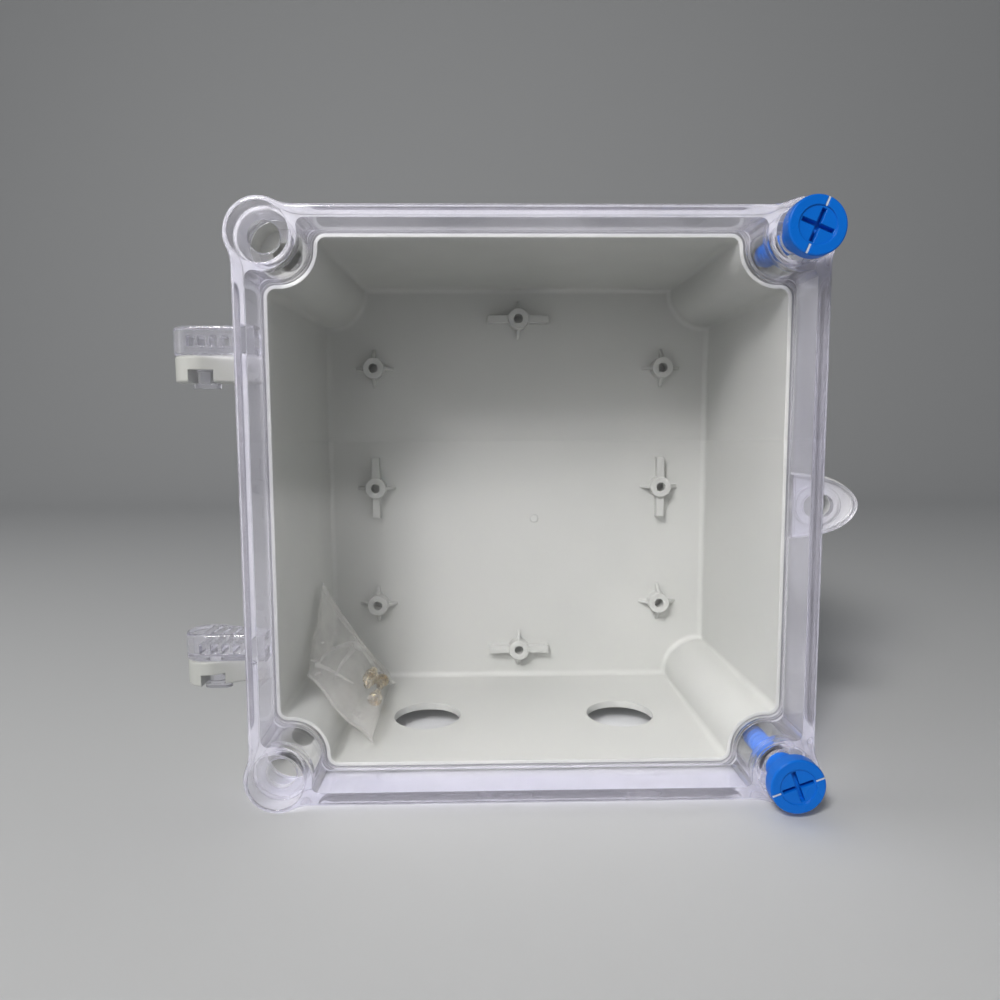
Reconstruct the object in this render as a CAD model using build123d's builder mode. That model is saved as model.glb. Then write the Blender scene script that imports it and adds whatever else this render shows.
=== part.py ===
from build123d import *
import os
from math import cos, radians, sin, tan

# Hinged junction box, millimetres. Origin at the middle of the rear face that lies on the wall,
# X to the right as seen from the front, Z up, the clear lid towards -Y.
# A height is always measured from the wall towards the front.

# Outline of lid and case rim, without hinges, eye and corner tubes
body_width = 196.0
body_height = 202.0
body_depth = 120.0

# Corner tubes, which carry the cover screws outside the seal
screw_inset_x = 9.3
screw_inset_z = 9.0
corner_radius = 9.0
tube_radius = 11.6
tube_blend = 14.0
tube_bore_radius = 9.8
ledge_thickness = 3.0
pocket_radius = 9.2

# Case
case_height = 95.5
wall = 3.0
floor_thickness = 3.0
draft = 1.3
column_radius = 11.2
flange_depth = 9.3
rim_inset = 5.4
corner_sweep = 14.2
rim_corner_radius = 3.0
floor_radius = 2.5
rear_edge_radius = 1.5
pocket_depth = 11.3
mounting_floor = 6.0
mounting_hole_radius = 2.6

# Seal between rim and lid
inner_lip = 1.3
groove_width = 2.4
gasket_thickness = 1.8
gasket_gap = 0.1
tongue_length = 2.0
tongue_clearance = 0.4
lid_gap = 0.3

# Lid
lid_plate = 3.0
lid_draft = 1.0
lid_edge_radius = 1.4
lid_flange = 2.5
lid_corner_radius = 3.0

# Bosses for a mounting plate on the case floor
boss_radius = 4.8
boss_hole_radius = 2.1
boss_height = 6.0
boss_hole_depth = 7.0
boss_side_x = 68.0
boss_side_pitch = 56.5
boss_centre_z = 79.2
long_rib_length = 28.5
long_rib_thickness = 3.5
rib_height = 4.6
gusset_reach = 9.0
gusset_thickness = 1.4
gate_mark = (7.7, -15.3)
gate_mark_radius = 1.9
gate_mark_height = 0.4

# Cable entries in the bottom wall
cable_hole_radius = 14.15
cable_hole_x = 41.5
cable_hole_height = 52.0

# Hinges on the left: clear arms of the lid turn on the lugs of the case
pin_x = -114.5
pin_height = 97.0
pin_radius = 3.2
pin_clearance = 0.1
knuckle_offset = 2.7
lug_radius = 7.7
lug_top = 54.2
lug_length = 9.1
lug_root_height = 7.5
lug_root_drop = 1.5
hinge_root_depth = 1.0
window_width = 7.8
window_height = 4.3
arm_radius = 8.0
arm_length = 9.9
arm_root_height = 8.3
arm_root_rise = 0.4
hinge_gap = 0.2
knuckle_edge_radius = 0.9
cell_width = 2.6
cell_height = 3.6
cell_pitch = 4.0
cell_count = 4
cell_offset = 3.3
cell_middle = 4.75
cell_corner_radius = 0.4
key_length = 9.7
key_width = 4.6
key_thickness = 1.8
key_gap = 0.3
key_clearance = 0.3

# Locking eye on the right, one plate on the case and one on the lid
eye_reach = 22.5
eye_root_depth = 1.0
eye_half_height = 12.3
eye_plate = 3.5
eye_hole_x = 106.5
eye_hole_radius = 4.2
eye_boss_radius = 7.0
eye_rim = 1.1
eye_dish = 1.5
lid_eye_plate = 3.0
lid_eye_inset = 0.9

# Cover screws, turned out as far as their collar lets them
head_radius = 9.5
head_thickness = 5.0
head_edge_radius = 0.7
screw_travel = 9.0
neck_radius = 5.3
neck_length = 15.0
neck_clearance = 0.1
shank_radius = 4.0
shank_clearance = 0.1
screw_reach = 20.0
tip_chamfer = 1.0
recess_radius = 6.2
recess_depth = 0.4
cross_length = 11.0
cross_width = 1.5
cross_depth = 3.0
mark_width = 0.8
mark_depth = 0.5
upper_mark_angle = 68.0
lower_mark_angle = 20.0
ring_radius = 0.9
ring_gap = 0.05

# Bag with small screws, leaning in the lower left corner of the case
bag_film = 0.5
bag_gap = 0.5
bag_foot_inset = 30.7
bag_foot_rear = 17.0
bag_foot_length = 62.0
bag_foot_thickness = 11.0
bag_foot_lean = 32.0
bag_top_inset = 4.2
bag_top_rise = 43.6
bag_top_height = 50.0
bag_top_length = 36.0
bag_top_thickness = 1.6
bag_top_tilt = 35.0
bag_top_lean = 8.0
small_count = 4
small_start = 30.0
small_column_pitch = 14.0
small_row_pitch = 6.6
small_gap = 0.3
small_shank_radius = 1.7
small_shank_length = 9.0
small_head_radius = 3.2
small_head_thickness = 2.2
small_tip_length = 2.0

corner_x = body_width / 2 - screw_inset_x
corner_z = body_height / 2 - screw_inset_z
lid_rear = case_height + lid_gap
opening_width = body_width - 2 * rim_inset
opening_height = body_height - 2 * rim_inset
tray_corner_radius = corner_radius - rim_inset + wall
groove_depth = gasket_thickness + gasket_gap + tongue_length - lid_gap
tongue_start = inner_lip + tongue_clearance
tongue_end = inner_lip + groove_width - tongue_clearance
skirt = rim_inset - tongue_start
bore_radius = shank_radius + shank_clearance
tube_bore_depth = head_thickness + 2 * (ring_radius + ring_gap)
eye_root_x = body_width / 2 - eye_root_depth
knuckle_x = pin_x - knuckle_offset
face_height = body_depth + screw_travel
shank_length = body_depth - head_thickness - neck_length - case_height + screw_reach
wall_lean = (case_height - bag_foot_rear) * tan(radians(draft))
foot_rise = bag_gap + bag_foot_thickness / 2 * sin(radians(bag_foot_lean))
bag_foot = (bag_foot_inset - opening_width / 2, -bag_foot_rear - bag_foot_length / 2,
            wall_lean + foot_rise - opening_height / 2)
bag_top = (bag_top_inset - opening_width / 2, -bag_top_height, bag_top_rise - opening_height / 2)

os.makedirs("parts", exist_ok=True)


def level(height):
    """Plane parallel to the wall, at a height above it, facing the front."""
    return Plane.XZ.offset(height)


def corner_spots():
    """The four corner tubes."""
    return GridLocations(2 * corner_x, 2 * corner_z, 2, 2)


def knuckle_edges(part):
    """Edges round the two ends of the last knuckle, off the wall that carries it."""
    wall_x = -body_width / 2 - knuckle_edge_radius
    edges = part.edges(Select.LAST).filter_by(lambda edge: edge.center().X < wall_x)
    return edges.group_by(Axis.Z)[0] + edges.group_by(Axis.Z)[-1]


def finish(part, name):
    """Label a piece and write it under the name of its node."""
    part.label = name
    export_step(part, f"parts/{name}.step")


# Line that lid and case rim share outside, bulging round the corner tubes
with BuildSketch() as cover_outline:
    RectangleRounded(body_width, body_height, corner_radius)
    with corner_spots():
        Circle(tube_radius)
    fillet(cover_outline.vertices(), tube_blend)

# Opening of the rim, which passes the corner tubes on their inner side
with BuildSketch() as rim_opening:
    Rectangle(opening_width, opening_height)
    with corner_spots():
        Circle(corner_sweep, mode=Mode.SUBTRACT)
    fillet(rim_opening.vertices(), rim_corner_radius)


def seal_band(inner, outer):
    """Band along the rim between two distances outside the opening."""
    offset(rim_opening.sketch_local, amount=outer, mode=Mode.ADD)
    offset(rim_opening.sketch_local, amount=inner, mode=Mode.SUBTRACT)


def eye_outline(inset):
    """Half ellipse of a locking eye, standing out from the right side."""
    with Locations((eye_root_x, 0)):
        Ellipse(eye_reach + eye_root_depth - inset, eye_half_height - inset)
        Rectangle(2 * eye_reach, 3 * eye_half_height, align=(Align.MIN, Align.CENTER), mode=Mode.INTERSECT)


def gusset_outline(turn):
    """Web that slopes down on two sides of a boss, drawn from the case floor."""
    Polygon((-gusset_reach, 0), (gusset_reach, 0), (boss_radius, -rib_height), (-boss_radius, -rib_height),
            align=None, rotation=turn)


corner_bosses = [(x, z) for x in (-boss_side_x, boss_side_x) for z in (-boss_side_pitch, boss_side_pitch)]
middle_bosses = [(-boss_side_x, 0), (boss_side_x, 0)]
centre_bosses = [(0, -boss_centre_z), (0, boss_centre_z)]
all_bosses = corner_bosses + middle_bosses + centre_bosses
lug_tops = (lug_top, -lug_top)

# Rear case: drafted tray with four corner columns, a flange that carries the seal groove,
# plate bosses, two cable entries, hinge lugs on the left and a locking eye on the right
with BuildPart() as rear_case:
    with BuildSketch(level(case_height)):
        RectangleRounded(opening_width + 2 * wall, opening_height + 2 * wall, tray_corner_radius)
        with corner_spots():
            Circle(column_radius)
    extrude(amount=-case_height, taper=draft)
    fillet(rear_case.faces().sort_by(Axis.Y)[-1].outer_wire().edges(), rear_edge_radius)
    with BuildSketch(level(case_height - flange_depth)):
        add(cover_outline.sketch_local)
    extrude(amount=flange_depth)
    with BuildSketch(level(case_height)):
        add(rim_opening.sketch_local)
    extrude(amount=floor_thickness - case_height, taper=draft, mode=Mode.SUBTRACT)
    inner_floor = rear_case.faces().filter_by(Axis.Y).sort_by_distance((0, -floor_thickness, 0))[0]
    fillet(inner_floor.outer_wire().edges(), floor_radius)

    with BuildSketch(level(case_height)):
        seal_band(inner_lip, inner_lip + groove_width)
    extrude(amount=-groove_depth, mode=Mode.SUBTRACT)

    with BuildSketch(level(case_height)):
        with corner_spots():
            Circle(pocket_radius)
    extrude(amount=-pocket_depth, mode=Mode.SUBTRACT)
    with BuildSketch(level(mounting_floor)):
        with corner_spots():
            Circle(bore_radius)
    extrude(amount=case_height - mounting_floor, mode=Mode.SUBTRACT)
    with BuildSketch(level(0)):
        with corner_spots():
            Circle(mounting_hole_radius)
    extrude(amount=mounting_floor, mode=Mode.SUBTRACT)

    with BuildSketch(level(floor_thickness)):
        with Locations(*all_bosses):
            Circle(boss_radius)
    extrude(amount=boss_height)
    with BuildSketch(level(floor_thickness)):
        with Locations(*middle_bosses):
            Rectangle(long_rib_thickness, long_rib_length)
        with Locations(*centre_bosses):
            Rectangle(long_rib_length, long_rib_thickness)
    extrude(amount=rib_height)
    for boss_x, boss_z in corner_bosses + middle_bosses:
        with BuildSketch(Plane.XY.offset(boss_z)):
            with Locations((boss_x, -floor_thickness)):
                gusset_outline(0)
        extrude(amount=gusset_thickness / 2, both=True)
    for boss_x, boss_z in corner_bosses + centre_bosses:
        with BuildSketch(Plane.YZ.offset(boss_x)):
            with Locations((-floor_thickness, boss_z)):
                gusset_outline(-90)
        extrude(amount=gusset_thickness / 2, both=True)
    with BuildSketch(level(floor_thickness + boss_height)):
        with Locations(*all_bosses):
            Circle(boss_hole_radius)
    extrude(amount=-boss_hole_depth, mode=Mode.SUBTRACT)
    with BuildSketch(level(floor_thickness)):
        with Locations(gate_mark):
            Circle(gate_mark_radius)
    extrude(amount=gate_mark_height)

    with BuildSketch(Plane.XY.offset(-opening_height / 2 - 2 * wall)):
        with Locations((-cable_hole_x, -cable_hole_height), (cable_hole_x, -cable_hole_height)):
            Circle(cable_hole_radius)
    extrude(amount=4 * wall, mode=Mode.SUBTRACT)

    for top in lug_tops:
        with BuildSketch(Plane.XY.offset(top - lug_length)):
            with Locations((knuckle_x, -pin_height)):
                Circle(lug_radius)
            with Locations((-body_width / 2, -case_height + lug_root_drop)):
                Rectangle(hinge_root_depth, lug_root_height, align=(Align.MIN, Align.MIN))
            make_hull()
        extrude(amount=lug_length)
        fillet(knuckle_edges(rear_case), knuckle_edge_radius)
        with BuildSketch(Plane.XY.offset(top - lug_length)):
            with Locations((pin_x, -pin_height)):
                Circle(pin_radius + pin_clearance)
                SlotOverall(key_length + 2 * key_clearance, key_width + 2 * key_clearance, rotation=90)
        extrude(amount=lug_length, mode=Mode.SUBTRACT)
        with BuildSketch(level(pin_height)):
            with Locations((pin_x, top - lug_length)):
                Rectangle(window_width, 2 * window_height)
        extrude(amount=2 * lug_radius, both=True, mode=Mode.SUBTRACT)

    with BuildSketch(level(case_height - lid_gap)):
        eye_outline(0)
    extrude(amount=-eye_plate)
    with BuildSketch(level(case_height - lid_gap)):
        eye_outline(eye_rim)
        Rectangle(body_width + 2 * eye_rim, body_height, mode=Mode.SUBTRACT)
        with Locations((eye_hole_x, 0)):
            Circle(eye_boss_radius, mode=Mode.SUBTRACT)
    extrude(amount=-eye_dish, mode=Mode.SUBTRACT)
    with BuildSketch(level(case_height)):
        with Locations((eye_hole_x, 0)):
            Circle(eye_hole_radius)
    extrude(amount=-2 * eye_plate, mode=Mode.SUBTRACT)

finish(rear_case.part, "rear_case")

# Clear lid: plate and skirt in one moulding, with four corner tubes, a tongue that presses on
# the gasket, two cored hinge arms with keyed pins and the front plate of the locking eye
with BuildPart() as lid:
    with BuildSketch(level(lid_rear)):
        add(cover_outline.sketch_local)
    extrude(amount=body_depth - lid_rear)
    fillet(lid.faces().sort_by(Axis.Y)[0].outer_wire().edges(), lid_edge_radius)
    with BuildSketch(level(lid_rear)):
        offset(rim_opening.sketch_local, amount=tongue_start, mode=Mode.ADD)
    extrude(amount=lid_flange, mode=Mode.SUBTRACT)
    with BuildSketch(level(lid_rear + lid_flange)) as cavity_outline:
        Rectangle(body_width - 2 * skirt, body_height - 2 * skirt)
        with corner_spots():
            Circle(tube_radius, mode=Mode.SUBTRACT)
        fillet(cavity_outline.vertices(), lid_corner_radius)
    extrude(amount=body_depth - lid_plate - lid_rear - lid_flange, taper=lid_draft, mode=Mode.SUBTRACT)
    with BuildSketch(level(lid_rear)):
        seal_band(tongue_start, tongue_end)
    extrude(amount=-tongue_length)

    with BuildSketch(level(body_depth)):
        with corner_spots():
            Circle(tube_bore_radius)
    extrude(amount=-tube_bore_depth, mode=Mode.SUBTRACT)
    with BuildSketch(level(lid_rear)):
        with corner_spots():
            Circle(neck_radius + neck_clearance)
    extrude(amount=body_depth - lid_rear, mode=Mode.SUBTRACT)
    with BuildSketch(level(lid_rear)):
        with corner_spots():
            Circle(pocket_radius)
    ledge_height = body_depth - tube_bore_depth - ledge_thickness
    extrude(amount=ledge_height - lid_rear, mode=Mode.SUBTRACT)

    for top in lug_tops:
        arm_bottom = top + hinge_gap
        with BuildSketch(Plane.XY.offset(arm_bottom)):
            with Locations((knuckle_x, -pin_height)):
                Circle(arm_radius)
            with Locations((-body_width / 2, -lid_rear - arm_root_rise)):
                Rectangle(hinge_root_depth, arm_root_height, align=(Align.MIN, Align.MAX))
            make_hull()
        extrude(amount=arm_length)
        fillet(knuckle_edges(lid), knuckle_edge_radius)
        with BuildSketch(level(pin_height)):
            with Locations((pin_x + cell_offset, arm_bottom + cell_middle)):
                with GridLocations(cell_pitch, 0, cell_count, 1):
                    RectangleRounded(cell_width, cell_height, cell_corner_radius)
        extrude(amount=2 * arm_radius, both=True, mode=Mode.SUBTRACT)
        with BuildSketch(Plane.XY.offset(top - lug_length - key_gap)):
            with Locations((pin_x, -pin_height)):
                Circle(pin_radius)
        extrude(amount=arm_bottom - top + lug_length + key_gap)
        with BuildSketch(Plane.XY.offset(top - lug_length - key_gap)):
            with Locations((pin_x, -pin_height)):
                SlotOverall(key_length, key_width)
        extrude(amount=-key_thickness)

    with BuildSketch(level(lid_rear)):
        eye_outline(lid_eye_inset)
    extrude(amount=lid_eye_plate)
    with BuildSketch(level(lid_rear + lid_eye_plate)):
        eye_outline(lid_eye_inset + eye_rim)
        Rectangle(body_width + 2 * eye_rim, body_height, mode=Mode.SUBTRACT)
        with Locations((eye_hole_x, 0)):
            Circle(eye_boss_radius, mode=Mode.SUBTRACT)
    extrude(amount=-eye_dish, mode=Mode.SUBTRACT)
    with BuildSketch(level(lid_rear)):
        with Locations((eye_hole_x, 0)):
            Circle(eye_hole_radius)
    extrude(amount=lid_eye_plate, mode=Mode.SUBTRACT)

finish(lid.part, "lid")

# Gasket: one closed strip at the bottom of the seal groove
with BuildPart() as lid_gasket:
    with BuildSketch(level(case_height - groove_depth)):
        seal_band(inner_lip + gasket_gap, inner_lip + groove_width - gasket_gap)
    extrude(amount=gasket_thickness)

finish(lid_gasket.part, "lid_gasket")

# Cover screws with a flat sealing ring under the head
for name, side, mark_angle in (("upper", 1, upper_mark_angle), ("lower", -1, lower_mark_angle)):
    screw_z = side * corner_z
    screw_axis = Axis((corner_x, 0, screw_z), (0, 1, 0))
    head_rear = face_height - head_thickness
    neck_end = head_rear - neck_length
    tip = neck_end - shank_length
    with BuildPart() as cover_screw:
        with BuildSketch(Plane.XY.offset(screw_z)):
            with BuildLine():
                Polyline((corner_x, -face_height), (corner_x + head_radius, -face_height),
                         (corner_x + head_radius, -head_rear), (corner_x + neck_radius, -head_rear),
                         (corner_x + neck_radius, -neck_end), (corner_x + shank_radius, -neck_end),
                         (corner_x + shank_radius, -tip - tip_chamfer),
                         (corner_x + shank_radius - tip_chamfer, -tip), (corner_x, -tip), close=True)
            make_face()
        revolve(axis=screw_axis)
        fillet(cover_screw.faces().sort_by(Axis.Y)[0].outer_wire().edges(), head_edge_radius)
        with BuildSketch(level(face_height)):
            with Locations((corner_x, screw_z)):
                Circle(recess_radius)
        extrude(amount=-recess_depth, mode=Mode.SUBTRACT)
        with BuildSketch(level(face_height)):
            with Locations((corner_x, screw_z)):
                Rectangle(4 * head_radius, mark_width, rotation=mark_angle)
                Circle(recess_radius, mode=Mode.SUBTRACT)
        extrude(amount=-mark_depth, mode=Mode.SUBTRACT)
        with BuildSketch(level(face_height)):
            with Locations((corner_x, screw_z)):
                Rectangle(cross_length, cross_width, rotation=mark_angle)
                Rectangle(cross_length, cross_width, rotation=mark_angle + 90)
        extrude(amount=-cross_depth, mode=Mode.SUBTRACT)
    finish(cover_screw.part, f"{name}_cover_screw")

    with BuildPart() as screw_ring:
        with BuildSketch(Plane.XY.offset(screw_z)):
            ring_centre = corner_x + neck_radius + ring_gap + ring_radius
            with Locations((ring_centre, -head_rear + ring_gap + ring_radius)):
                Circle(ring_radius)
        revolve(axis=screw_axis)
    finish(screw_ring.part, f"{name}_screw_ring")


def lean_plane(origin, lean, tilt):
    """Cross-section plane of the bag: it leans to the left wall and rises by its tilt to the rear."""
    up = Vector(-sin(radians(lean)), 0, cos(radians(lean))).rotate(Axis.X, tilt)
    along = Vector(0, 1, 0).rotate(Axis.X, tilt)
    return Plane(origin=origin, x_dir=along, z_dir=up)


# Bag of thin film, wide and full at its foot and flat at its top, with room inside for the screws
foot_plane = lean_plane(bag_foot, bag_foot_lean, 0)
top_plane = lean_plane(bag_top, bag_top_lean, bag_top_tilt)
with BuildPart() as accessory_bag:
    with BuildSketch(foot_plane):
        Rectangle(bag_foot_length, bag_foot_thickness)
    with BuildSketch(top_plane):
        Rectangle(bag_top_length, bag_top_thickness)
    loft(ruled=True)
    with BuildSketch(foot_plane.offset(bag_film)):
        Rectangle(bag_foot_length - 2 * bag_film, bag_foot_thickness - 2 * bag_film)
    with BuildSketch(top_plane.offset(-bag_film)):
        Rectangle(bag_top_length - 2 * bag_film, bag_top_thickness - 2 * bag_film)
    loft(ruled=True, mode=Mode.SUBTRACT)

finish(accessory_bag.part, "accessory_bag")

# Small pan-head screws that lie in the foot of the bag, two and two, pointing opposite ways
for number in range(small_count):
    row, column = divmod(number, 2)
    turn = 1 - 2 * ((row + column) % 2)
    seat_rise = bag_film + small_gap + small_head_radius + row * small_row_pitch
    seat_start = bag_foot_length / 2 - small_start + column * small_column_pitch - turn * small_shank_length / 2
    centre = foot_plane.from_local_coords((seat_start, 0, seat_rise))
    along = foot_plane.x_dir * turn
    with BuildPart() as small_screw:
        with BuildSketch(Plane(origin=centre, x_dir=along, z_dir=foot_plane.y_dir)):
            Polygon((-small_head_thickness, 0), (small_shank_length, 0),
                    (small_shank_length - small_tip_length, small_shank_radius), (0, small_shank_radius),
                    (0, small_head_radius), (-small_head_thickness / 2, small_head_radius),
                    (-small_head_thickness, small_head_radius / 2), align=None)
        revolve(axis=Axis(centre, along))
    finish(small_screw.part, f"accessory_screw_{number + 1}")
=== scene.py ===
import math
import random
import bmesh
import bpy
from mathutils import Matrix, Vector, noise


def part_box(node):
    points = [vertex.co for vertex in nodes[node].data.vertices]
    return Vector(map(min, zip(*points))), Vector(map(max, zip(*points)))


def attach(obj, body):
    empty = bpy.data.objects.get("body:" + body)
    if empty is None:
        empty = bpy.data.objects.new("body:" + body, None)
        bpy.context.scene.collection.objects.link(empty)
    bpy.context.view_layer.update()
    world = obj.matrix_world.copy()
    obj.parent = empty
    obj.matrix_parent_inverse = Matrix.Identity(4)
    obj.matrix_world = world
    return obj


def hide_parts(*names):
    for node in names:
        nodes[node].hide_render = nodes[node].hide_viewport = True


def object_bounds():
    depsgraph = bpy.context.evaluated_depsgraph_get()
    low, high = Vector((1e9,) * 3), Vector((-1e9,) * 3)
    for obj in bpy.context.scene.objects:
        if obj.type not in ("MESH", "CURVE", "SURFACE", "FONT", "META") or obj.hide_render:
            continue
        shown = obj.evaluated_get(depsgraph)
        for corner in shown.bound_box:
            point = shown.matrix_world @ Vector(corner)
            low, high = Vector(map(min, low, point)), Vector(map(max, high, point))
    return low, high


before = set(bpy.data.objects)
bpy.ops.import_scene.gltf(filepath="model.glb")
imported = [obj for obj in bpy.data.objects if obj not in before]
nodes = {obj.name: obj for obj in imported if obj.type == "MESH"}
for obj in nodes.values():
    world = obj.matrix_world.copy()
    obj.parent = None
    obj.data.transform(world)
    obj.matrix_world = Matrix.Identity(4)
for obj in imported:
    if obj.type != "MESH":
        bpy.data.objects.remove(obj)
cad_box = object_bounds()
MM = 0.001

# Camera of the photograph, in metres and degrees of the row frame
CAMERA_PLACE = (-0.01681, -0.37567, 0.03009)
CAMERA_TURN = (84.405, 0.244, -1.253)
CAMERA_LENS = 27.77
CAMERA_SENSOR = 36.0
CAMERA_NEAR = 0.01

# Light: a soft lamp in front, above and to the left, weak ones on both sides, and an even world
KEY_PLACE = (-0.46, -1.05, 0.84)
KEY_SIZE = 0.30
KEY_POWER = 12.4
KEY_COLOUR = (1.0, 0.98, 0.95)
FILL_PLACE = (0.90, -0.80, 0.25)
FILL_SIZE = 0.9
FILL_POWER = 0.25
FILL_COLOUR = (0.95, 0.97, 1.0)
SIDE_PLACE = (-1.15, -0.50, 0.30)
SIDE_SIZE = 0.7
SIDE_POWER = 1.6
SIDE_COLOUR = (0.97, 0.98, 1.0)
WORLD_LEVEL = 0.14
WORLD_COLOUR = (0.95, 0.97, 1.0, 1)


def set_camera():
    camera = bpy.data.objects.new("camera", bpy.data.cameras.new("camera"))
    camera.data.sensor_width = CAMERA_SENSOR
    camera.data.lens = CAMERA_LENS
    camera.data.clip_start = CAMERA_NEAR
    camera.location = CAMERA_PLACE
    camera.rotation_euler = [math.radians(angle) for angle in CAMERA_TURN]
    bpy.context.scene.collection.objects.link(camera)
    bpy.context.scene.camera = camera


def area_lamp(name, place, size, power, colour):
    """Square lamp at a place, turned to the middle of the object."""
    lamp = bpy.data.lights.new(name, "AREA")
    lamp.size = size
    lamp.energy = power
    lamp.color = colour
    holder = bpy.data.objects.new(name, lamp)
    holder.location = place
    aim = (cad_box[0] + cad_box[1]) / 2 - Vector(place)
    holder.rotation_euler = aim.to_track_quat("-Z", "Y").to_euler()
    bpy.context.scene.collection.objects.link(holder)


def set_world(level):
    """Even, slightly cool world light."""
    world = bpy.data.worlds.new("studio")
    bpy.context.scene.world = world
    world.use_nodes = True
    background = world.node_tree.nodes["Background"]
    background.inputs["Color"].default_value = WORLD_COLOUR
    background.inputs["Strength"].default_value = level


set_camera()
area_lamp("key", KEY_PLACE, KEY_SIZE, KEY_POWER, KEY_COLOUR)
area_lamp("fill", FILL_PLACE, FILL_SIZE, FILL_POWER, FILL_COLOUR)
area_lamp("side", SIDE_PLACE, SIDE_SIZE, SIDE_POWER, SIDE_COLOUR)
set_world(WORLD_LEVEL)
bpy.context.scene.view_settings.view_transform = "Standard"


# Materials

EDGE_ROUNDING = 0.0005
EDGE_SAMPLES = 6
# Most of a noise field lies between these two values
NOISE_LOW = 0.3
NOISE_HIGH = 0.7
# Moulded plastic: scales of its cloudiness, gloss and grain, and how far the gloss strays
CLOUD_SCALE = 14.0
GLOSS_SCALE = 60.0
GLOSS_STRAY = (0.05, 0.07)
GRAIN_SCALE = 2600.0


def new_material(name):
    """Material, its Principled shader, and two helpers that add a node and link two sockets."""
    material = bpy.data.materials.new(name)
    material.use_nodes = True
    tree = material.node_tree

    def add(kind, **inputs):
        node = tree.nodes.new(kind)
        for socket, value in inputs.items():
            node.inputs[socket.replace("_", " ")].default_value = value
        return node

    return material, tree.nodes["Principled BSDF"], add, tree.links.new


def noise_field(add, link, scale, detail=3.0):
    """Noise in object space, whose object sits at the origin of the row frame."""
    place = add("ShaderNodeTexCoord")
    field = add("ShaderNodeTexNoise", Scale=scale, Detail=detail)
    link(place.outputs["Object"], field.inputs["Vector"])
    return field.outputs["Fac"]


def varied(add, link, field, low, high, target):
    """Lead a noise field, stretched between two values, into a number socket."""
    spread = add("ShaderNodeMapRange", From_Min=NOISE_LOW, From_Max=NOISE_HIGH, To_Min=low, To_Max=high)
    link(field, spread.inputs["Value"])
    link(spread.outputs["Result"], target)


def tinted(add, link, field, first, second, target):
    """Lead a field, as a mix of two colours, into a colour socket."""
    ramp = add("ShaderNodeValToRGB")
    ramp.color_ramp.elements[0].position = NOISE_LOW
    ramp.color_ramp.elements[1].position = NOISE_HIGH
    ramp.color_ramp.elements[0].color = (*first, 1)
    ramp.color_ramp.elements[1].color = (*second, 1)
    link(field, ramp.inputs["Fac"])
    link(ramp.outputs["Color"], target)


def bumped(add, link, field, depth, shader, strength=1.0, edge=0.0):
    """Relief of a depth in metres from a noise field, over edges that look rounded by a radius."""
    bump = add("ShaderNodeBump", Strength=strength, Distance=depth)
    link(field, bump.inputs["Height"])
    if edge:
        rounding = add("ShaderNodeBevel", Radius=edge)
        rounding.samples = EDGE_SAMPLES
        link(rounding.outputs["Normal"], bump.inputs["Normal"])
    link(bump.outputs["Normal"], shader.inputs["Normal"])


def moulded_plastic(name, first, second, roughness, grain_depth, specular=0.5):
    """Moulded plastic: slight cloudiness, uneven gloss and a fine spark-eroded grain."""
    material, shader, add, link = new_material(name)
    clouds = noise_field(add, link, CLOUD_SCALE, detail=4.0)
    tinted(add, link, clouds, first, second, shader.inputs["Base Color"])
    gloss = noise_field(add, link, GLOSS_SCALE)
    varied(add, link, gloss, roughness - GLOSS_STRAY[0], roughness + GLOSS_STRAY[1],
           shader.inputs["Roughness"])
    grain = noise_field(add, link, GRAIN_SCALE, detail=2.0)
    bumped(add, link, grain, grain_depth, shader, edge=EDGE_ROUNDING)
    shader.inputs["Specular IOR Level"].default_value = specular
    return material


# Half width and half height of the lid's polished window, and the strip over which it turns dull
WINDOW_HALF = (0.085, 0.089)
WINDOW_FADE = 0.004
# Clear lid: haze outside the window, tints, refraction, gloss, faint waves, and the light that passes it
EDGE_HAZE = (0.04, 0.13)
WINDOW_TINT = (0.985, 0.987, 0.980)
RIM_TINT = (0.950, 0.945, 0.995)
LID_REFRACTION = 1.585
LID_POLISH = (0.008, 0.030)
LID_WAVE_DEPTH = 0.00003
LID_WAVE_STRENGTH = 0.14
LID_SHADE = (0.93, 0.93, 0.95, 1)
LID_BODY = (0.75, 0.73, 1.0, 1)
LID_DENSITY = 9.0


def outside_window(add, link):
    """Share that is 0 on the polished window and 1 on the moulded rim, skirt, tubes and arms."""
    place = add("ShaderNodeTexCoord")
    split = add("ShaderNodeSeparateXYZ")
    link(place.outputs["Object"], split.inputs["Vector"])
    larger = add("ShaderNodeMath")
    larger.operation = "MAXIMUM"
    for number, (axis, half) in enumerate(zip("XZ", WINDOW_HALF)):
        away = add("ShaderNodeMath")
        away.operation = "ABSOLUTE"
        ramp = add("ShaderNodeMapRange", From_Min=half, From_Max=half + WINDOW_FADE)
        link(split.outputs[axis], away.inputs[0])
        link(away.outputs["Value"], ramp.inputs["Value"])
        link(ramp.outputs["Result"], larger.inputs[number])
    return larger.outputs["Value"]


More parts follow.
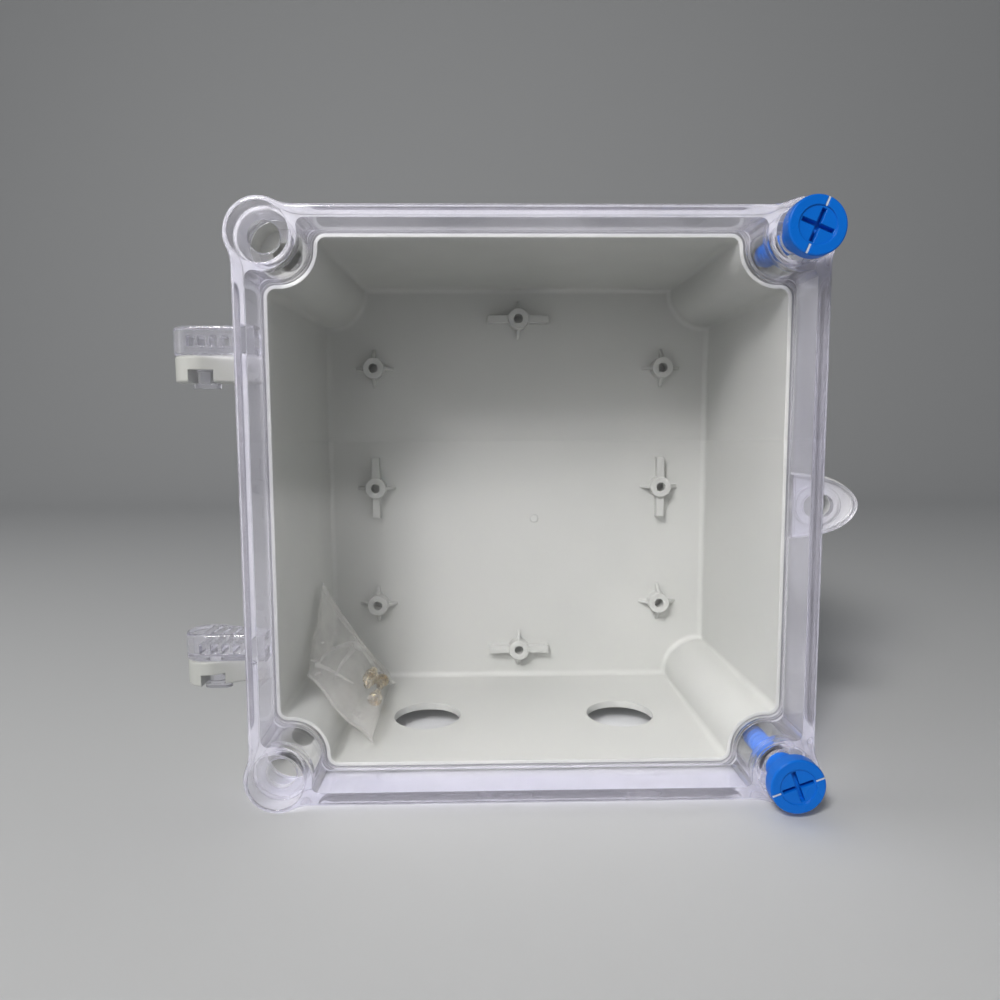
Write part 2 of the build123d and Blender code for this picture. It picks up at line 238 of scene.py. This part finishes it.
def clear_plastic():
    """Clear polycarbonate, faintly violet, a little hazy outside the window; lamps shine through it."""
    material, shader, add, link = new_material("clear_polycarbonate")
    outside = outside_window(add, link)
    tinted(add, link, outside, WINDOW_TINT, RIM_TINT, shader.inputs["Base Color"])
    shader.inputs["IOR"].default_value = LID_REFRACTION
    haze = add("ShaderNodeMapRange", From_Min=NOISE_LOW, From_Max=NOISE_HIGH,
               To_Min=EDGE_HAZE[0], To_Max=EDGE_HAZE[1])
    link(noise_field(add, link, 45.0), haze.inputs["Value"])
    rim_haze = add("ShaderNodeMath")
    rim_haze.operation = "MULTIPLY"
    link(haze.outputs["Result"], rim_haze.inputs[0])
    link(outside, rim_haze.inputs[1])
    clear = add("ShaderNodeMapRange", To_Min=1.0, To_Max=0.0)
    link(rim_haze.outputs["Value"], clear.inputs["Value"])
    link(clear.outputs["Result"], shader.inputs["Transmission Weight"])
    varied(add, link, noise_field(add, link, 35.0), *LID_POLISH, shader.inputs["Roughness"])
    waves = noise_field(add, link, 60.0, detail=1.0)
    bumped(add, link, waves, LID_WAVE_DEPTH, shader, LID_WAVE_STRENGTH, EDGE_ROUNDING)
    pass_light = add("ShaderNodeBsdfTransparent", Color=LID_SHADE)
    path = add("ShaderNodeLightPath")
    mix = add("ShaderNodeMixShader")
    link(path.outputs["Is Shadow Ray"], mix.inputs["Fac"])
    link(shader.outputs["BSDF"], mix.inputs[1])
    link(pass_light.outputs["BSDF"], mix.inputs[2])
    output = material.node_tree.nodes["Material Output"]
    link(mix.outputs["Shader"], output.inputs["Surface"])
    body = add("ShaderNodeVolumeAbsorption", Color=LID_BODY, Density=LID_DENSITY)
    link(body.outputs["Volume"], output.inputs["Volume"])
    return material


def foam_rubber():
    """Poured foam strip, matt and full of small pores."""
    material, shader, add, link = new_material("foam_rubber")
    tinted(add, link, noise_field(add, link, 900.0, 2.0), (0.22, 0.22, 0.21), (0.32, 0.32, 0.31),
           shader.inputs["Base Color"])
    varied(add, link, noise_field(add, link, 400.0), 0.75, 0.92, shader.inputs["Roughness"])
    bumped(add, link, noise_field(add, link, 1800.0), 0.0001, shader)
    return material


# Film near the small screws is clearer: from the first radius to the second the haze returns
CLEAR_RADIUS = (0.009, 0.017)
CLEAR_SHARE = 0.35


def away_from_screws(add, link):
    """Share of haze that is left at a distance from the middle of the small screws."""
    spots = [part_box(f"accessory_screw_{number}") for number in range(1, 5)]
    middle = sum((low + high for low, high in spots), Vector()) / (2 * len(spots))
    place = add("ShaderNodeTexCoord")
    away = add("ShaderNodeVectorMath")
    away.operation = "DISTANCE"
    away.inputs[1].default_value = middle
    ramp = add("ShaderNodeMapRange", From_Min=CLEAR_RADIUS[0], From_Max=CLEAR_RADIUS[1],
               To_Min=CLEAR_SHARE, To_Max=1.0)
    link(place.outputs["Object"], away.inputs[0])
    link(away.outputs["Value"], ramp.inputs["Value"])
    return ramp.outputs["Result"]


def bag_film(name, thin, dense):
    """Film whose haze lies between two shares of cover, clearest where it lies on the small screws."""
    material, shader, add, link = new_material(name)
    shader.inputs["Base Color"].default_value = (0.74, 0.73, 0.71, 1)
    shader.inputs["Specular IOR Level"].default_value = 0.9
    shader.inputs["Coat Weight"].default_value = 0.6
    shader.inputs["Coat Roughness"].default_value = 0.06
    varied(add, link, noise_field(add, link, 120.0), 0.12, 0.30, shader.inputs["Roughness"])
    bumped(add, link, noise_field(add, link, 700.0), 0.00006, shader)
    see_through = add("ShaderNodeBsdfTransparent", Color=(0.97, 0.97, 0.96, 1))
    mix = add("ShaderNodeMixShader")
    cover = add("ShaderNodeMath")
    cover.operation = "MULTIPLY"
    varied(add, link, noise_field(add, link, 160.0, 5.0), thin, dense, cover.inputs[0])
    link(away_from_screws(add, link), cover.inputs[1])
    link(cover.outputs["Value"], mix.inputs["Fac"])
    link(see_through.outputs["BSDF"], mix.inputs[1])
    link(shader.outputs["BSDF"], mix.inputs[2])
    link(mix.outputs["Shader"], material.node_tree.nodes["Material Output"].inputs["Surface"])
    return material


def zinc_plating():
    """Yellow passivated zinc: warm, with paler and darker patches and faint drawing marks."""
    material, shader, add, link = new_material("yellow_zinc")
    tinted(add, link, noise_field(add, link, 420.0), (0.55, 0.40, 0.20), (0.80, 0.74, 0.58),
           shader.inputs["Base Color"])
    shader.inputs["Metallic"].default_value = 1.0
    varied(add, link, noise_field(add, link, 900.0), 0.16, 0.34, shader.inputs["Roughness"])
    bumped(add, link, noise_field(add, link, 2200.0), 0.00002, shader)
    return material


def painted_groove_highlight():
    """Pale colour for a strip in a groove, a painted highlight of the groove's lit edges, patchy at random.
    """
    material, shader, add, link = new_material("painted_groove_highlight")
    tinted(add, link, noise_field(add, link, 1500.0), (0.55, 0.62, 0.72), (0.78, 0.82, 0.88),
           shader.inputs["Base Color"])
    varied(add, link, noise_field(add, link, 800.0), 0.45, 0.65, shader.inputs["Roughness"])
    bumped(add, link, noise_field(add, link, 2500.0), 0.00003, shader)
    return material


def paint(node, material):
    """Give a CAD node its material."""
    mesh = nodes[node].data
    mesh.materials.clear()
    mesh.materials.append(material)


case_plastic = moulded_plastic("case_grey", (0.53, 0.54, 0.515), (0.58, 0.585, 0.56), 0.36, 0.00002)
blue_plastic = moulded_plastic("screw_blue", (0.001, 0.130, 0.60), (0.002, 0.185, 0.78), 0.28,
                               0.00001, specular=0.22)
ring_rubber = moulded_plastic("ring_black", (0.020, 0.020, 0.021), (0.035, 0.035, 0.036), 0.55,
                              0.00002)
lid_plastic = clear_plastic()
gasket_foam = foam_rubber()
film = bag_film("bag_film", 0.18, 0.36)
# Denser film for the welded hem, and for the painted highlight lines along the fanned creases
hem_and_glint_film = bag_film("bag_hem_and_crease_glints", 0.34, 0.52)
zinc = zinc_plating()
# Pale strips in the head grooves: a painted highlight
groove_highlight_material = painted_groove_highlight()

paint("rear_case", case_plastic)
paint("lid", lid_plastic)
paint("lid_gasket", gasket_foam)
for side in ("upper", "lower"):
    paint(f"{side}_cover_screw", blue_plastic)
    paint(f"{side}_screw_ring", ring_rubber)


# Pieces built here

def place_mesh(name, points, faces, materials, body, smooth=True):
    """Object of a mesh in the row frame, which rides on a body."""
    mesh = bpy.data.meshes.new(name)
    mesh.from_pydata(points, [], faces)
    for material in materials:
        mesh.materials.append(material)
    if smooth:
        mesh.shade_smooth()
    piece = bpy.data.objects.new(name, mesh)
    bpy.context.scene.collection.objects.link(piece)
    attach(piece, body)
    return piece


def ring_faces(rings, around, closed=True):
    """Quads between rings of points that follow one another."""
    last = around if closed else around - 1
    return [(r * around + a, r * around + (a + 1) % around, (r + 1) * around + (a + 1) % around,
             (r + 1) * around + a) for r in range(rings - 1) for a in range(last)]


# Threads of the cover screws and of the small screws
COVER_PITCH = 3.0 * MM
COVER_ROOT = 0.82
SMALL_PITCH = 1.15 * MM
SMALL_ROOT = 0.70
THREAD_STEPS = 12
COVER_AROUND = 40
SMALL_AROUND = 24
# Half width of the crest as a share of the pitch, the gain that flattens its top, and the run-in in pitches
CREST_HALF = 0.36
CREST_GAIN = 1.35
RUN_IN = 0.5


def thread_points(start, along, radius, length, pitch, root, around):
    """Rings of a coarse one-start thread on a shank; the root is a share of the radius."""
    side = along.orthogonal().normalized()
    other = along.cross(side)
    rings = int(THREAD_STEPS * length / pitch)
    points = []
    for ring in range(rings + 1):
        reach = length * ring / rings
        run_out = min(1.0, (length - reach) / pitch, reach / (RUN_IN * pitch))
        for step in range(around):
            turn = 2 * math.pi * step / around
            phase = (reach / pitch - step / around) % 1.0
            crest = max(0.0, 1 - abs(phase - 0.5) / CREST_HALF)
            depth = radius * (root + (1 - root) * min(1.0, CREST_GAIN * crest) * run_out)
            outward = side * math.cos(turn) + other * math.sin(turn)
            points.append(start + along * reach + outward * depth)
    return points, rings + 1


def threaded_shank(name, start, along, radius, length, pitch, root, around, material, body):
    """Shank with its thread and a blunt end."""
    points, rings = thread_points(start, along, radius, length, pitch, root, around)
    faces = ring_faces(rings, around)
    faces.append(tuple(range((rings - 1) * around, rings * around)))
    return place_mesh(name, points, faces, [material], body)


def cut_shank(node, beyond, material):
    """Copy of a cover screw that ends where its threaded shank starts."""
    mesh = bmesh.new()
    mesh.from_mesh(nodes[node].data)
    shank = [face for face in mesh.faces if min(vertex.co.y for vertex in face.verts) > beyond]
    bmesh.ops.delete(mesh, geom=shank, context="FACES")
    data = bpy.data.meshes.new(f"{node}_head")
    mesh.to_mesh(data)
    mesh.free()
    data.materials.clear()
    data.materials.append(material)
    head = bpy.data.objects.new(f"{node}_head", data)
    bpy.context.scene.collection.objects.link(head)
    return head


# Cover screws: threads, and a pale strip in each of the two marks of the head, a painted highlight of the
# groove's lit edges
MARK_ANGLE = {"upper": 68.0, "lower": 20.0}
MARK_SPAN = (6.3 * MM, 9.3 * MM)
MARK_WIDTH = 0.66 * MM
MARK_REACH = (0.18 * MM, 0.48 * MM)
SHANK_LENGTH = 24.5 * MM
SHANK_RADIUS = 3.95 * MM
SHANK_CUT = 0.1 * MM


def cover_screw(side):
    """Blue screw whose shank carries a real thread, with a painted highlight strip in each mark of its
    head.
    """
    node = f"{side}_cover_screw"
    body = f"{side}_screw"
    low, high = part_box(node)
    centre_x = (low.x + high.x) / 2
    centre_z = (low.z + high.z) / 2
    neck_end = high.y - SHANK_LENGTH
    head = cut_shank(node, neck_end - SHANK_CUT, blue_plastic)
    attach(head, body)
    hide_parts(node)
    threaded_shank(f"{side}_screw_thread", Vector((centre_x, neck_end, centre_z)), Vector((0, 1, 0)),
                   SHANK_RADIUS, SHANK_LENGTH, COVER_PITCH, COVER_ROOT, COVER_AROUND, blue_plastic, body)
    for number, turn in enumerate((MARK_ANGLE[side], MARK_ANGLE[side] + 180)):
        out = Vector((math.cos(math.radians(turn)), 0, math.sin(math.radians(turn))))
        across = Vector((-out.z, 0, out.x)) * MARK_WIDTH / 2
        points = [Vector((centre_x, low.y + reach, centre_z)) + out * span + across * way
                  for reach in MARK_REACH for span in MARK_SPAN for way in (-1, 1)]
        faces = [(0, 1, 3, 2), (4, 6, 7, 5), (0, 4, 5, 1), (2, 3, 7, 6), (0, 2, 6, 4), (1, 5, 7, 3)]
        place_mesh(f"{side}_screw_mark_{number + 1}", points, faces, [groove_highlight_material], body,
                   smooth=False)


for side in ("upper", "lower"):
    cover_screw(side)

# Small screws: pan head with a cross recess
SMALL_HEAD = 2.2 * MM
SMALL_RADIUS = 1.65 * MM
HEAD_RADIUS = 3.15 * MM
HEAD_RINGS = 14
HEAD_AROUND = 48
RECESS_HALF = 1.9 * MM
RECESS_WIDTH = 0.42 * MM
RECESS_DEPTH = 1.2 * MM
RECESS_SIDE = 0.16 * MM
RECESS_END = 0.5 * MM
# Crown of the head: share that its rim drops, how late it drops, and the share left at the outermost ring
CROWN_DROP = 0.55
CROWN_POWER = 6
RIM_KEPT = 0.8
HEAD_CENTRE = 0.02
# Length of the small shank, how many of its radii only the head passes, and the angle of the head's
# sharp edges in degrees
SMALL_SHANK = 8.9 * MM
HEAD_TEST = 1.2
HEAD_SHARP = 40


def recess_depth(x, y):
    """Depth of the cross recess at a place on the head, with sloping walls."""
    arm = min(abs(x), abs(y))
    reach = max(abs(x), abs(y))
    wall = min((RECESS_WIDTH - arm) / RECESS_SIDE, (RECESS_HALF - reach) / RECESS_END)
    return RECESS_DEPTH * max(0.0, min(1.0, wall))


def pan_head(name, seat, along, body):
    """Pan head that rises from its seat against the direction of the shank."""
    side = along.orthogonal().normalized()
    other = along.cross(side)
    points = []
    for ring in range(HEAD_RINGS):
        share = ring / (HEAD_RINGS - 1)
        radius = HEAD_RADIUS * (HEAD_CENTRE + (1 - HEAD_CENTRE) * share)
        rise = SMALL_HEAD * (1 - CROWN_DROP * share ** CROWN_POWER) * (1.0 if share < 1 else RIM_KEPT)
        for step in range(HEAD_AROUND):
            turn = 2 * math.pi * step / HEAD_AROUND
            x = radius * math.cos(turn)
            y = radius * math.sin(turn)
            points.append(seat + side * x + other * y - along * (rise - recess_depth(x, y)))
    rings = HEAD_RINGS
    for radius in (HEAD_RADIUS, 0.5 * SMALL_RADIUS):
        for step in range(HEAD_AROUND):
            turn = 2 * math.pi * step / HEAD_AROUND
            points.append(seat + (side * math.cos(turn) + other * math.sin(turn)) * radius)
        rings += 1
    faces = ring_faces(rings, HEAD_AROUND)
    faces.append(tuple(reversed(range(HEAD_AROUND))))
    head = place_mesh(name, points, faces, [zinc], body)
    head.data.set_sharp_from_angle(angle=math.radians(HEAD_SHARP))
    return head


def small_screw(number):
    """Screw that stands for a CAD one: its axis runs along Y, its head at the thick end."""
    node = f"accessory_screw_{number}"
    low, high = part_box(node)
    middle = (low + high) / 2
    thick = []
    for vertex in nodes[node].data.vertices:
        off_axis = Vector((vertex.co.x - middle.x, 0, vertex.co.z - middle.z))
        if off_axis.length > HEAD_TEST * SMALL_RADIUS:
            thick.append(vertex.co.y)
    turn = 1 if sum(thick) / len(thick) < middle.y else -1
    along = Vector((0, turn, 0))
    seat = Vector((middle.x, low.y + SMALL_HEAD if turn > 0 else high.y - SMALL_HEAD, middle.z))
    head = pan_head(f"{node}_head", seat, along, "rear_case")
    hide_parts(node)
    threaded_shank(f"{node}_thread", seat, along, SMALL_RADIUS, SMALL_SHANK, SMALL_PITCH, SMALL_ROOT,
                   SMALL_AROUND, zinc, "rear_case")


for number in range(1, 5):
    small_screw(number)

# Bag of film: two sheets, welded into a broad hem along the rear side, in the room that the plain bag
# takes, with its loose corners hanging out further
BAG_ALONG = 110
BAG_UP = 80
HEM_START = 0.84
FRONT_SEAM = -0.96
BULGE_START = 0.70
FOOT_ROUND = 0.12
SHEET_GAP = 0.15 * MM
CORNER_REACH = 0.05 * MM
CREASE_COUNT = 34
CREASE_WIDTH = 0.13
# Half width of the line of denser film along each fanned crease, a painted highlight
CREASE_GLINT_LINE = 0.030
# How much of its depth and of its painted highlight line a crease loses along its length
CREASE_FADE = 0.5
GLINT_FADE = 0.7
# Chance creases: seed, ranges of their height and length as shares of the sheet, and of their depth in mm
CREASE_SEED = 7
CHANCE_UP = (0.15, 1.0)
CHANCE_REACH = (0.15, 0.55)
CHANCE_DEPTH = (0.2, 0.7)
# Largest share of a sheet's distance from the middle that a crease presses in
PRESS_LIMIT = 0.8
# Height below which the foot hangs out and above which the top does, and powers that shape sag and corners
FOOT_LOOSE = 0.16
TOP_LOOSE = 0.60
SAG_POWER = 0.8
CORNER_POWER = 3
# Unevenness of the front edge and of the top edge as shares, each with the scale of its waves
RAGGED_FRONT = 0.012
FRONT_WAVES = 6
RAGGED_TOP = 0.04
TOP_WAVES = 2.5
# Sag of the free front edge half way up, and how far each loose corner hangs out
FRONT_SAG = Vector((-1.5, -6.0, -4.5)) * MM
TAIL_REACH = Vector((1.8, -8.0, -1.6)) * MM
HEEL_REACH = Vector((3.0, 0.4, -2.1)) * MM
TIP_RISE = Vector((-0.3, 1.0, 2.0)) * MM
SHOULDER_DROP = Vector((-1.0, -5.5, -6.5)) * MM
# Creases that fan out from one pinched place: start and end as shares of length and height, depth
PINCH = (0.60, 0.50)
ROOM_CREASES = [(PINCH, (-0.80, 0.92), 1.2 * MM),
                (PINCH, (-0.75, 0.66), 1.4 * MM),
                (PINCH, (0.72, 0.06), 1.2 * MM),
                (PINCH, (0.68, 0.94), 1.0 * MM),
                (PINCH, (-0.35, 0.30), 0.8 * MM),
                ((-0.80, 0.92), (-0.55, 0.45), 0.8 * MM)]


def bag_corners():
    """Outer corners of the plain bag, by end, by front or rear, and by the side it faces."""
    spots = [vertex.co.copy() for vertex in nodes["accessory_bag"].data.vertices]
    edges = {("foot", "wall"): lambda spot: spot.z, ("foot", "room"): lambda spot: -spot.x,
             ("top", "wall"): lambda spot: spot.x}
    corners = {}
    for (end, facing), measure in edges.items():
        least = min(measure(spot) for spot in spots)
        along_edge = [spot for spot in spots if measure(spot) < least + CORNER_REACH]
        corners[end, "front", facing] = min(along_edge, key=lambda spot: spot.y)
        corners[end, "rear", facing] = max(along_edge, key=lambda spot: spot.y)
    corners["top", "rear", "room"] = max(spots, key=lambda spot: spot.z)
    thickness = corners["top", "rear", "room"] - corners["top", "rear", "wall"]
    corners["top", "front", "room"] = corners["top", "front", "wall"] + thickness
    return corners


def from_crease(along, up, start, end):
    """How far a place is from a crease, and how far along the crease, as shares of the sheet."""
    run = Vector(end) - Vector(start)
    place = Vector((along, up)) - Vector(start)
    share = max(0.0, min(1.0, place.dot(run) / run.length_squared))
    return (place - run * share).length, share


def crease_height(along, up, creases):
    """Depth of the deepest crease at a place, each a sharp valley that gets shallower along its line."""
    deepest = 0.0
    for start, end, depth in creases:
        away, share = from_crease(along, up, start, end)
        deepest = max(deepest, depth * max(0.0, 1 - away / CREASE_WIDTH) * (1 - CREASE_FADE * share))
    return deepest


def on_crease_glint(along, up, creases):
    """Whether a place lies on the line of denser film along a crease, a painted highlight, which gets
    thinner along it.
    """
    for start, end, _ in creases:
        away, share = from_crease(along, up, start, end)
        if away < CREASE_GLINT_LINE * (1 - GLINT_FADE * share):
            return True
    return False


def chance_creases(chance):
    """Creases of chance length and direction."""
    creases = []
    for _ in range(CREASE_COUNT):
        start = (chance.uniform(-1, 1), chance.uniform(*CHANCE_UP))
        turn = chance.uniform(0, 2 * math.pi)
        reach = chance.uniform(*CHANCE_REACH)
        end = (start[0] + reach * math.cos(turn), start[1] + reach * math.sin(turn))
        creases.append((start, end, chance.uniform(*CHANCE_DEPTH) * MM))
    return creases


def loose_film(along, up):
    """How far the film hangs beyond the straight outline at a place of the sheet."""
    front = max(0.0, -along) ** 2
    rear = max(0.0, along) ** 2
    sag = FRONT_SAG * front * math.sin(math.pi * min(1.0, up)) ** SAG_POWER
    at_foot = max(0.0, 1 - up / FOOT_LOOSE) ** 2
    at_top = max(0.0, (up - TOP_LOOSE) / (1 - TOP_LOOSE)) ** 2
    foot = (TAIL_REACH * front ** CORNER_POWER + HEEL_REACH * rear ** CORNER_POWER) * at_foot
    top = (SHOULDER_DROP * front + TIP_RISE * rear) * at_top
    return sag + foot + top


def sheet_points(corners, facing, creases):
    """Grid of one sheet, bulging over the contents and flat in the hem and at the front edge."""
    points = []
    for row in range(BAG_UP + 1):
        up = row / BAG_UP
        for column in range(BAG_ALONG + 1):
            along = 2 * column / BAG_ALONG - 1
            front_wave = 1 + noise.noise(Vector((3.1, FRONT_WAVES * up, 0.0)))
            ragged = 1 - RAGGED_FRONT * front_wave
            top_wave = 1 + noise.noise(Vector((TOP_WAVES * along, 8.2, 1.0)))
            height = up * (1 - RAGGED_TOP * top_wave * up * (1 - max(0.0, along)))
            share = (along * ragged + 1) / 2
            here = {}
            for side in ("wall", "room"):
                foot = corners["foot", "front", side].lerp(corners["foot", "rear", side], share)
                top = corners["top", "front", side].lerp(corners["top", "rear", side], share)
                here[side] = foot.lerp(top, height)
            flat_at = HEM_START if along > 0 else -FRONT_SEAM
            flatness = max(0.0, (abs(along) - BULGE_START) / (flat_at - BULGE_START))
            bulge = math.sqrt(max(0.0, 1 - flatness ** 2))
            if up < FOOT_ROUND:
                bulge *= math.sqrt(1 - (1 - up / FOOT_ROUND) ** 2)
            middle = (here["wall"] + here["room"]) / 2
            out = here[facing] - middle
            half = max(out.length * bulge, SHEET_GAP)
            press = min(crease_height(along, up, creases), PRESS_LIMIT * half) if half > SHEET_GAP else 0.0
            points.append(middle + out.normalized() * (half - press) + loose_film(along, up))
    return points


def crumpled_bag():
    """Both sheets as one mesh, the hem in denser film, and the same denser film along the fanned creases as
    a painted highlight.
    """
    corners = bag_corners()
    chance = random.Random(CREASE_SEED)
    points = sheet_points(corners, "room", ROOM_CREASES + chance_creases(chance))
    points += sheet_points(corners, "wall", chance_creases(chance))
    width = BAG_ALONG + 1
    faces = []
    for sheet in range(2):
        first = sheet * width * (BAG_UP + 1)
        faces += [tuple(first + corner for corner in face) for face in ring_faces(BAG_UP + 1, width, False)]
    bag = place_mesh("crumpled_bag", points, faces, [film, hem_and_glint_film], "rear_case")
    for number, face in enumerate(bag.data.polygons):
        along = 2 * (number % BAG_ALONG + 0.5) / BAG_ALONG - 1
        up = (number // BAG_ALONG % BAG_UP + 0.5) / BAG_UP
        # Faces on a fanned crease of the room-side sheet get the denser film: a painted highlight
        on_glint = number < BAG_ALONG * BAG_UP and on_crease_glint(along, up, ROOM_CREASES)
        if along > HEM_START or along < FRONT_SEAM or on_glint:
            face.material_index = 1
    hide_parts("accessory_bag")


crumpled_bag()

# Floor and backdrop
FLOOR_COLOUR = (0.66, 0.67, 0.68, 1)
FLOOR_ROUGHNESS = 0.8
FLOOR_HALF = 6.0
SWEEP_START = 0.9
SWEEP_RADIUS = 0.6
SWEEP_TOP = 2.0
SWEEP_STEPS = 16


def studio_sweep():
    """Pale floor that curves up into the backdrop."""
    floor_z = cad_box[0].z
    profile = [(-FLOOR_HALF, floor_z), (SWEEP_START, floor_z)]
    for step in range(1, SWEEP_STEPS + 1):
        turn = math.radians(90 * step / SWEEP_STEPS)
        away = SWEEP_START + SWEEP_RADIUS * math.sin(turn)
        profile.append((away, floor_z + SWEEP_RADIUS * (1 - math.cos(turn))))
    profile.append((SWEEP_START + SWEEP_RADIUS, floor_z + SWEEP_TOP))
    mesh = bpy.data.meshes.new("studio_sweep")
    points = [(x, y, z) for y, z in profile for x in (-FLOOR_HALF, FLOOR_HALF)]
    faces = [(2 * i, 2 * i + 1, 2 * i + 3, 2 * i + 2) for i in range(len(profile) - 1)]
    mesh.from_pydata(points, [], faces)
    mesh.shade_smooth()
    sweep = bpy.data.objects.new("studio_sweep", mesh)
    bpy.context.scene.collection.objects.link(sweep)
    material, shader, _, _ = new_material("pale_floor")
    shader.inputs["Base Color"].default_value = FLOOR_COLOUR
    shader.inputs["Roughness"].default_value = FLOOR_ROUGHNESS
    mesh.materials.append(material)


studio_sweep()
